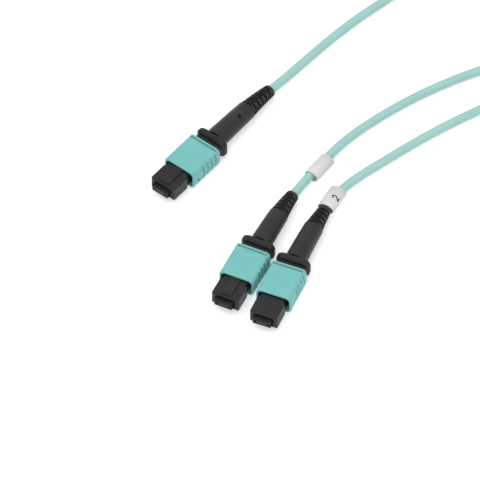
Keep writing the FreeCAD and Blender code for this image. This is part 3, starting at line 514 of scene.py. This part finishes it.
def make_boot(plug, cord, smooth, ribs, dimple):
    """A boot swept along its cable."""
    line = middle_line(cord)
    turns = turns_round(boot_points)
    front_steps, rib_steps = round(smooth / coarse_step), round(ribs / fine_step)
    places = [smooth * number / front_steps for number in range(front_steps + 1)]
    places += [smooth + ribs * number / rib_steps for number in range(1, rib_steps + 1)]
    rings = [
        [boot_outside(place, turn, smooth, ribs, dimple) for turn in turns] for place in places
    ]
    places += [places[-1], places[-1] - boot_hole]
    rings += [[(boot_hole, 0.0)] * boot_points] * 2
    sections, shade_paint = [], []
    for place, ring in zip(places, rings):
        middle, heading = walk(line, place - boot_from_cable_start)
        aside, upright = cross_frame(heading)
        sections.append([
            middle
            + aside * math.sin(turn) * radius * boot_wide
            + upright * math.cos(turn) * radius * boot_flat
            for turn, (radius, _) in zip(turns, ring)
        ])
        # Each point keeps the painted shade of its slot or dimple.
        shade_paint += [shade_here for _, shade_here in ring]
    piece = skin(plug + "_ribbed_boot", sections, joined=False, shade_paint=shade_paint)
    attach(piece, "harness")
    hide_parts(plug + "_boot")
    return piece


boots = [
    make_boot("trunk", trunk_cord, smooth=0.0169, ribs=0.0119, dimple=True),
    make_boot("leg_one", leg_one_cord, smooth=0.0142, ribs=0.0101, dimple=False),
    make_boot("leg_two", leg_two_cord, smooth=0.0158, ribs=0.0093, dimple=False),
]
print("boot faces:", [len(boot.data.polygons) for boot in boots])

# %% [markdown]
# The coupling sleeve is the coloured part that the hand slides. Its long edges are well rounded,
# its rear lip is set off by a groove, and each side has four chevron grooves for the fingers. A
# small hole low on one side is left by the mould's core pin. It is one moulding with soft edges, so
# it is made as one skin: a rounded outline carried along the plug, pressed inwards where a groove
# or the hole lies, then turned in over the rim and back along the inside.

# %% The outline of a sleeve
outside_size, inside_size = (0.0124, 0.0072, 0.0016), (0.0112, 0.0060, 0.0015)
corner_steps, side_steps, top_steps = 20, 40, 18


def way_at(degrees):
    """The direction at an angle, in the plane of an outline."""
    return Vector((math.cos(math.radians(degrees)), math.sin(math.radians(degrees))))


def rounded_outline(width, height, radius):
    """Points and outward directions round a rectangle with round corners."""
    far_y, far_z = width / 2 - radius, height / 2 - radius
    middles = [Vector((y * far_y, z * far_z)) for y, z in ((1, 1), (-1, 1), (-1, -1), (1, -1))]
    outline = []
    for number, middle in enumerate(middles):
        for step in range(corner_steps):
            way = way_at(90 * number + 90 * step / corner_steps)
            outline.append((middle + way * radius, way))
        way = way_at(90 * number + 90)
        following = middles[(number + 1) % len(middles)]
        steps = top_steps if number % 2 == 0 else side_steps
        for step in range(steps):
            outline.append((middle.lerp(following, step / steps) + way * radius, way))
    return outline


print("points round a sleeve:", len(rounded_outline(*outside_size)))

# %% The hollows of a sleeve
side_from, top_from = outside_size[0] / 4, outside_size[1] / 4
grip_tops = [-0.00435, -0.00225, -0.00015, 0.00195]
grip_width, grip_depth, grip_slant, grip_reach = 0.00085, 0.00048, 0.00060, 0.0031
# The chevrons' last number is the share of painted shade on their floors.
grip_edge, grip_fade, grip_shade_paint = 0.00012, 0.12, 0.105
lip_line, lip_line_width, lip_line_depth, lip_line_span = -0.00580, 0.00075, 0.00055, 0.0053
# The lip line's last number is the share of painted shade on its floor.
lip_line_edge, lip_line_shade_paint = 0.0001, 0.35
pin_hole_along, pin_hole_height = 0.00435, -0.00118
pin_hole_radius, pin_hole_depth, pin_hole_edge = 0.00046, 0.00050, 0.00012


def sleeve_press(along, spot, turned):
    """How deep a sleeve is pressed in at a place by its grips, its lip line and its pin hole.
    Turned is -1 for a plug with its key down, whose hole comes to the other side, and else 1."""
    grips = lip = hole = 0.0
    if abs(spot.x) > side_from:
        share = min(1.0, abs(spot.y) / grip_reach)
        fade = soft_step((1 - share) / grip_fade)
        for top in grip_tops:
            off = abs(along - top + grip_slant * (1 - share))
            in_grip = soft_step((grip_width / 2 - off) / grip_edge + 0.5) * fade
            grips = max(grips, grip_depth * in_grip)
    if abs(spot.y) > top_from and abs(spot.x) < lip_line_span:
        off = abs(along - lip_line)
        lip = lip_line_depth * soft_step((lip_line_width / 2 - off) / lip_line_edge + 0.5)
    if turned * spot.x > side_from:
        off = math.hypot(along - pin_hole_along, turned * spot.y - pin_hole_height)
        hole = pin_hole_depth * soft_step((pin_hole_radius - off) / pin_hole_edge + 0.5)
    return grips, lip, hole


def sleeve_shade_paint(grips, lip, hole):
    """How much painted shade the floor of a hollow gets, from 0 to 1."""
    return max(
        grip_shade_paint * grips / grip_depth,
        lip_line_shade_paint * lip / lip_line_depth,
        hole / pin_hole_depth,
    )


print("chevrons on each side:", len(grip_tops))

# %% Coupling sleeves
sleeve_half_length, sleeve_behind_tip = 0.00695, 0.0173
rim_round, rim_steps = 0.00025, 4
station_gap = 0.00007


def make_sleeve(plug, turned):
    """A coupling sleeve in its plug's place."""
    tip, ahead = plug_axis(plug)
    aside = up.cross(ahead)
    middle = tip - ahead * sleeve_behind_tip
    outside, inside = rounded_outline(*outside_size), rounded_outline(*inside_size)
    bends = [math.radians(90 * step / rim_steps) for step in range(rim_steps + 1)]
    straight = sleeve_half_length - rim_round
    count = round(2 * straight / station_gap)
    stations = [
        (-straight - rim_round * math.cos(bend), rim_round * (1 - math.sin(bend))) for bend in bends
    ]
    stations += [(-straight + 2 * straight * number / count, 0.0) for number in range(1, count)]
    stations += [
        (straight + rim_round * math.sin(bend), rim_round * (1 - math.cos(bend))) for bend in bends
    ]
    rings, shade_paint = [], []
    for along, inset in stations:
        presses = [sleeve_press(along, spot, turned) for spot, _ in outside]
        rings.append([
            (along, spot - way * (inset + max(press)))
            for (spot, way), press in zip(outside, presses)
        ])
        # Each point keeps the painted shade of its grooves and pin hole.
        shade_paint += [sleeve_shade_paint(*press) for press in presses]
    for along in (sleeve_half_length, 0.0, -sleeve_half_length):
        rings.append([(along, spot) for spot, _ in inside])
        shade_paint += [0.0] * len(inside)
    sections = [
        [middle + ahead * along + aside * spot.x + up * spot.y for along, spot in ring]
        for ring in rings
    ]
    piece = skin(plug + "_grip_sleeve", sections, joined=True, shade_paint=shade_paint)
    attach(piece, plug + "_sleeve")
    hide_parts(plug + "_coupling_sleeve")
    return piece


sleeves = [make_sleeve(plug, turned) for plug, turned in zip(plugs, (1, 1, -1))]
print("sleeve faces:", [len(sleeve.data.polygons) for sleeve in sleeves])

# %% [markdown]
# Light leaves each plug through a row of twelve polished fibre ends in the ferrule's face, a
# quarter of a millimetre apart, between the two guide pin holes. Each end is a tiny flat disc of
# glass, a hair proud of the resin as after polishing. They ride on the ferrule, so they go back
# with it when the plug is pushed in.

# %% Fibre ends
fibre_count, fibre_pitch, fibre_radius = 12, 0.00025, 0.0000625
fibre_proud = 0.000004
disc_points = 12


def make_fibre_ends(plug):
    """The row of fibre ends in a ferrule's face."""
    tip, ahead = plug_axis(plug)
    aside = up.cross(ahead)
    spots, faces = [], []
    for number in range(fibre_count):
        from_middle = number - (fibre_count - 1) / 2
        middle = tip + ahead * fibre_proud + aside * fibre_pitch * from_middle
        faces.append(tuple(range(len(spots), len(spots) + disc_points)))
        for turn in turns_round(disc_points):
            spots.append(middle + (aside * math.cos(turn) + up * math.sin(turn)) * fibre_radius)
    mesh = bpy.data.meshes.new(plug + "_fibre_ends")
    mesh.from_pydata(spots, [], faces)
    piece = add_object(plug + "_fibre_ends", mesh)
    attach(piece, plug + "_ferrule_group")
    return piece


fibre_ends = [make_fibre_ends(plug) for plug in plugs]
print("fibre ends in each ferrule:", fibre_count)

# %% [markdown]
# Three things inside each plug give way when it is used: the oval spring behind the ferrule, the
# fibre ribbon that runs through it, and the pair of springs that bring the sleeve forward again.
# The rear end of each stays with the plug, and its front end goes with the piece that slides. Here
# each is drawn as a plain copy of its solid, in the solid's place, and the solid is hidden.

# %% Springs and ribbons that give way
gives_way = {
    "ferrule_spring": ("oval_spring", "ferrule_group", "spring_steel"),
    "fibre_ribbon": ("sliding_ribbon", "ferrule_group", "fibre_coating"),
    "coupling_springs": ("return_springs", "sleeve", "spring_steel"),
}


def make_yielding(plug, solid_name):
    """A plain copy of a solid in its place, with the solid hidden."""
    name, follows, slot = gives_way[solid_name]
    mesh = nodes[plug + "_" + solid_name].data.copy()
    mesh.materials.clear()
    piece = add_object(plug + "_" + name, mesh)
    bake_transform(piece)
    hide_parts(plug + "_" + solid_name)
    return piece


yielding = {
    solid_name: [make_yielding(plug, solid_name) for plug in plugs] for solid_name in gives_way
}
print("pieces that give way:", sum(len(pieces) for pieces in yielding.values()))

# %% [markdown]
# The table in the photograph is pure white with hardly a shadow. A white floor under soft light
# from all round comes close to white by itself. A little glow takes it the rest of the way and
# leaves a faint shadow. Only the rays that show the backdrop get the glow, so it doesn't light the
# harness.

# %% Rays that show the backdrop
def white_backdrop_ray(tree):
    """A socket that is 1 for rays to the camera, straight, mirrored or through glass."""
    path = tree.nodes.new("ShaderNodeLightPath")
    ray = path.outputs["Is Camera Ray"]
    for kind in ("Is Glossy Ray", "Is Transmission Ray"):
        either = tree.nodes.new("ShaderNodeMath")
        either.operation = "MAXIMUM"
        tree.links.new(ray, either.inputs[0])
        tree.links.new(path.outputs[kind], either.inputs[1])
        ray = either.outputs[0]
    return ray


def show_backdrop(tree, usual, seen, output_kind):
    """One shader for most rays, and another for those that show the backdrop."""
    choose = tree.nodes.new("ShaderNodeMixShader")
    out = tree.nodes.new(output_kind)
    tree.links.new(white_backdrop_ray(tree), choose.inputs[0])
    tree.links.new(usual.outputs[0], choose.inputs[1])
    tree.links.new(seen.outputs[0], choose.inputs[2])
    tree.links.new(choose.outputs[0], out.inputs[0])


def empty_tree(owner):
    """The node tree of a material or a world, with nothing in it."""
    owner.use_nodes = True
    owner.node_tree.nodes.clear()
    return owner.node_tree


print("backdrop helpers ready")

# %% The floor
floor_half, floor_drop = 1.5, 0.00002
table_colour, table_glow = (0.9, 0.9, 0.9, 1), 0.47

floor_corners = [
    (x * floor_half, y * floor_half, 0) for x, y in ((-1, -1), (1, -1), (1, 1), (-1, 1))
]
floor_mesh = bpy.data.meshes.new("floor")
floor_mesh.from_pydata(floor_corners, [], [(0, 1, 2, 3)])
floor = add_object("floor", floor_mesh)
floor.location.z = -floor_drop

table_white = bpy.data.materials.new("table_white")
tree = empty_tree(table_white)
matte = tree.nodes.new("ShaderNodeBsdfDiffuse")
matte.inputs["Color"].default_value = table_colour
glow = tree.nodes.new("ShaderNodeEmission")
glow.inputs["Strength"].default_value = table_glow
both = tree.nodes.new("ShaderNodeAddShader")
tree.links.new(matte.outputs[0], both.inputs[0])
tree.links.new(glow.outputs[0], both.inputs[1])
show_backdrop(tree, matte, both, "ShaderNodeOutputMaterial")
floor_mesh.materials.append(table_white)
print("floor is", 2 * floor_half, "m wide")

# %% [markdown]
# Product shots are lit by large, soft boxes in a bright room. The room itself lights from all
# round, one box hangs overhead, and a smaller one at the side gives the plugs a lit and a shaded
# face.

# %% Room and lights
room_light, room_seen = 0.62, 1.0

world = bpy.data.worlds.new("white_room")
scene.world = world
tree = empty_tree(world)
backgrounds = []
for strength in (room_light, room_seen):
    background = tree.nodes.new("ShaderNodeBackground")
    background.inputs["Strength"].default_value = strength
    backgrounds.append(background)
show_backdrop(tree, *backgrounds, "ShaderNodeOutputWorld")


def softbox(name, place, side, power):
    """A square area light that faces the harness."""
    lamp = bpy.data.lights.new(name, "AREA")
    lamp.size = side
    lamp.energy = power
    box = add_object(name, lamp)
    box.location = look_at + Vector(place)
    box.rotation_euler = Vector(place).to_track_quat("Z", "Y").to_euler()
    return box


softbox("overhead_softbox", place=(0.10, -0.15, 0.80), side=0.7, power=2.4)
softbox("side_softbox", place=(0.55, 0.45, 0.45), side=0.5, power=1.2)
print("lights:", [light.name for light in bpy.data.lights])

# %% [markdown]
# The plugs are moulded plastic. Real mouldings are never one flat colour: the skin has a fine
# spark-eroded grain, the gloss changes a little from place to place, and edges catch light because
# no mould is perfectly sharp. Three noise textures and a bevel give that without changing the
# solids.

# %% Textures for plastics
noise_span = (0.3, 0.7)
grain_strength = 0.35


def add_node(tree, kind, **settings):
    """A node with some of its inputs set by name."""
    node = tree.nodes.new(kind)
    for name, value in settings.items():
        node.inputs[name.replace("_", " ").title()].default_value = value
    return node


def surface(name, roughness, metallic=0.0, sheen=0.5):
    """An empty material with one shader, and the place that its textures are measured from."""
    material = bpy.data.materials.new(name)
    material.use_nodes = True
    tree = material.node_tree
    shader = tree.nodes["Principled BSDF"]
    shader.inputs["Roughness"].default_value = roughness
    shader.inputs["Metallic"].default_value = metallic
    shader.inputs["Specular IOR Level"].default_value = sheen
    place = tree.nodes.new("ShaderNodeTexCoord").outputs["Object"]
    return material, tree, shader, place


def noise_over(tree, place, size, detail):
    """Noise whose patches have about a given size."""
    noise = add_node(tree, "ShaderNodeTexNoise", scale=1 / size, detail=detail)
    tree.links.new(place, noise.inputs["Vector"])
    return noise.outputs["Fac"]


def mottle(tree, place, socket, first, second, size):
    """Two colours that run into each other in soft patches of a size."""
    ramp = tree.nodes.new("ShaderNodeValToRGB")
    for stop, share, colour in zip(ramp.color_ramp.elements, noise_span, (first, second)):
        stop.position = share
        stop.color = (*colour, 1)
    tree.links.new(noise_over(tree, place, size, detail=4.0), ramp.inputs["Fac"])
    tree.links.new(ramp.outputs["Color"], socket)


def uneven_gloss(tree, place, shader, low, high, size):
    """Roughness that changes from place to place."""
    span = add_node(
        tree, "ShaderNodeMapRange",
        from_min=noise_span[0], from_max=noise_span[1], to_min=low, to_max=high,
    )
    tree.links.new(noise_over(tree, place, size, detail=3.0), span.inputs["Value"])
    tree.links.new(span.outputs["Result"], shader.inputs["Roughness"])


def grain(tree, place, shader, size, depth, edge):
    """A fine raised grain on a surface whose edges are a little rounded."""
    bump = add_node(tree, "ShaderNodeBump", strength=grain_strength, distance=depth)
    round_edge = add_node(tree, "ShaderNodeBevel", radius=edge)
    tree.links.new(noise_over(tree, place, size, detail=2.0), bump.inputs["Height"])
    tree.links.new(round_edge.outputs["Normal"], bump.inputs["Normal"])
    tree.links.new(bump.outputs["Normal"], shader.inputs["Normal"])


print("textures ready")

# %% [markdown]
# Little light gets into the floor of a groove or a slot, and there the colour and the sheen are
# darkened with painted shade. The made skins carry a value on each point that says how much painted
# shade it gets, and this finish reads that value.

# %% Moulded plastics
patch_size, gloss_patch_size = 0.004, 0.006


def paint_shade_in_hollows(tree, shader, sheen, share):
    """Paints shade into the hollows: dims the colour and the sheen, down to a share of them, by the
    painted shade that the skin carries.
    """
    pressed = tree.nodes.new("ShaderNodeAttribute")
    pressed.attribute_name = "painted_shade"
    colour = shader.inputs["Base Color"].links[0].from_socket
    dim_colour = tree.nodes.new("ShaderNodeVectorMath")
    dim_colour.operation = "SCALE"
    fall = add_node(tree, "ShaderNodeMapRange", to_min=1.0, to_max=share)
    dim_sheen = add_node(tree, "ShaderNodeMapRange", to_min=sheen, to_max=sheen * share)
    tree.links.new(pressed.outputs["Fac"], fall.inputs["Value"])
    tree.links.new(pressed.outputs["Fac"], dim_sheen.inputs["Value"])
    tree.links.new(colour, dim_colour.inputs[0])
    tree.links.new(fall.outputs["Result"], dim_colour.inputs["Scale"])
    tree.links.new(dim_colour.outputs["Vector"], shader.inputs["Base Color"])
    tree.links.new(dim_sheen.outputs["Result"], shader.inputs["Specular IOR Level"])


def moulded(
    name, dark, light, gloss,
    sheen=0.5, edge=0.00012, grain_size=0.00018, grain_depth=0.00003, painted_shade_share=1.0,
):
    """Moulded plastic between two close colours, with a range of roughness, and painted shade in
    its hollows when their share is below 1.
    """
    material, tree, shader, place = surface(name, gloss[0], sheen=sheen)
    mottle(tree, place, shader.inputs["Base Color"], dark, light, patch_size)
    # Painted shade: the colour and the sheen of grooves and slots are darkened.
    if painted_shade_share < 1.0:
        paint_shade_in_hollows(tree, shader, sheen, painted_shade_share)
    uneven_gloss(tree, place, shader, gloss[0], gloss[1], gloss_patch_size)
    grain(tree, place, shader, grain_size, grain_depth, edge)
    return material


# The sleeve's grooves get painted shade, down to a fifth of their colour.
aqua_sleeve = moulded(
    "aqua_sleeve", (0.205, 0.610, 0.585), (0.230, 0.645, 0.620), (0.40, 0.50), painted_shade_share=0.20
)
black_housing = moulded(
    "black_housing", (0.019, 0.019, 0.020), (0.027, 0.027, 0.028), (0.40, 0.52), sheen=0.26
)
# The boot's slots get painted shade, down to a share of their colour and sheen.
black_boot = moulded(
    "black_boot", (0.017, 0.017, 0.018), (0.024, 0.024, 0.025), (0.38, 0.50),
    sheen=0.40, grain_size=0.00025, painted_shade_share=0.15,
)
white_marker = moulded("white_marker", (0.84, 0.84, 0.83), (0.88, 0.88, 0.87), (0.45, 0.58))
aqua_jacket = moulded(
    "aqua_jacket", (0.430, 0.745, 0.705), (0.465, 0.780, 0.740), (0.42, 0.52), grain_size=0.0003
)
ferrule_resin = moulded(
    "ferrule_resin", (0.012, 0.012, 0.013), (0.018, 0.018, 0.019), (0.30, 0.42),
    sheen=0.18, edge=0.00006,
)
ink = moulded(
    "ink", (0.012, 0.012, 0.013), (0.020, 0.020, 0.021), (0.55, 0.70), sheen=0.2, edge=0.00001
)
fibre_glass = moulded(
    "fibre_glass", (0.30, 0.34, 0.36), (0.42, 0.46, 0.48), (0.08, 0.15), edge=0.00001
)
fibre_ribbon = moulded(
    "fibre_ribbon", (0.62, 0.66, 0.68), (0.72, 0.75, 0.77), (0.2, 0.3), edge=0.00005
)
print("finishes so far:", len(bpy.data.materials))

# %% [markdown]
# Inside each plug are a few metal pieces, and the coil's tie is a hook-and-loop strap. Drawn wire
# and turned metal show fine lines along one direction, so their noise is stretched. The strap's
# loops are small bumps with dark gaps.

# %% Metals
line_stretch = (1.0, 12.0, 12.0)
metal_patch_size, metal_gloss_patch_size, metal_gloss_span = 0.003, 0.002, 0.15


def drawn_metal(name, dark, light, roughness):
    """Bright metal with fine lines from drawing or turning."""
    material, tree, shader, place = surface(name, roughness, metallic=1.0)
    stretch = tree.nodes.new("ShaderNodeMapping")
    stretch.inputs["Scale"].default_value = line_stretch
    tree.links.new(place, stretch.inputs["Vector"])
    lines = stretch.outputs["Vector"]
    mottle(tree, lines, shader.inputs["Base Color"], dark, light, metal_patch_size)
    roughest = roughness + metal_gloss_span
    uneven_gloss(tree, lines, shader, roughness, roughest, metal_gloss_patch_size)
    return material


spring_steel = drawn_metal("spring_steel", (0.50, 0.50, 0.52), (0.66, 0.66, 0.68), 0.25)
crimp_metal = drawn_metal("crimp_metal", (0.52, 0.52, 0.54), (0.64, 0.64, 0.66), 0.32)
print("metals:", spring_steel.name, crimp_metal.name)

# %% The coil's strap
loops_per_metre, loop_height, loop_strength = 2200.0, 0.0002, 0.8
strap_dark, strap_light, strap_patch_size = (0.010, 0.010, 0.011), (0.030, 0.030, 0.032), 0.0006

strap, tree, shader, place = surface("loop_strap", roughness=0.85)
mottle(tree, place, shader.inputs["Base Color"], strap_dark, strap_light, strap_patch_size)
loops = add_node(tree, "ShaderNodeTexVoronoi", scale=loops_per_metre)
tuft = add_node(tree, "ShaderNodeBump", strength=loop_strength, distance=loop_height)
tree.links.new(place, loops.inputs["Vector"])
tree.links.new(loops.outputs["Distance"], tuft.inputs["Height"])
tree.links.new(tuft.outputs["Normal"], shader.inputs["Normal"])
print("strap:", strap.name)

# %% [markdown]
# Last, each piece gets its finish. The solids that show as they are have theirs set on the slots
# that they came with, and the pieces made here get a first slot of their own. Solids that a made
# piece stands for are hidden and need none.

# %% Give each piece its finish
plug_finishes = {
    "inner_housing": black_housing,
    "ferrule": ferrule_resin,
    "ferrule_boot": black_boot,
    "pin_keeper": black_housing,
    "spring_push": black_housing,
    "crimp_sleeve": crimp_metal,
}
finishes = {
    plug + "_" + piece: finish for plug in plugs for piece, finish in plug_finishes.items()
}
finishes.update({
    "coil_tie": strap,
    "breakout_housing": black_housing,
    "breakout_cap": black_housing,
})
for name, finish in finishes.items():
    for material_slot in nodes[name].material_slots:
        material_slot.material = finish
made_here = {
    aqua_jacket: [trunk_cord, leg_one_cord, leg_two_cord],
    aqua_sleeve: sleeves,
    white_marker: [leg_one_tube, leg_two_tube],
    black_boot: boots,
    ink: [number_ink],
    fibre_glass: fibre_ends,
    spring_steel: yielding["ferrule_spring"] + yielding["coupling_springs"],
    fibre_ribbon: yielding["fibre_ribbon"],
}
for finish, things in made_here.items():
    for thing in things:
        thing.data.materials.append(finish)
print("finishes set on", len(finishes), "nodes")

# %% [markdown]
# The script ends with a closing line.

# %% The end
print("finished")
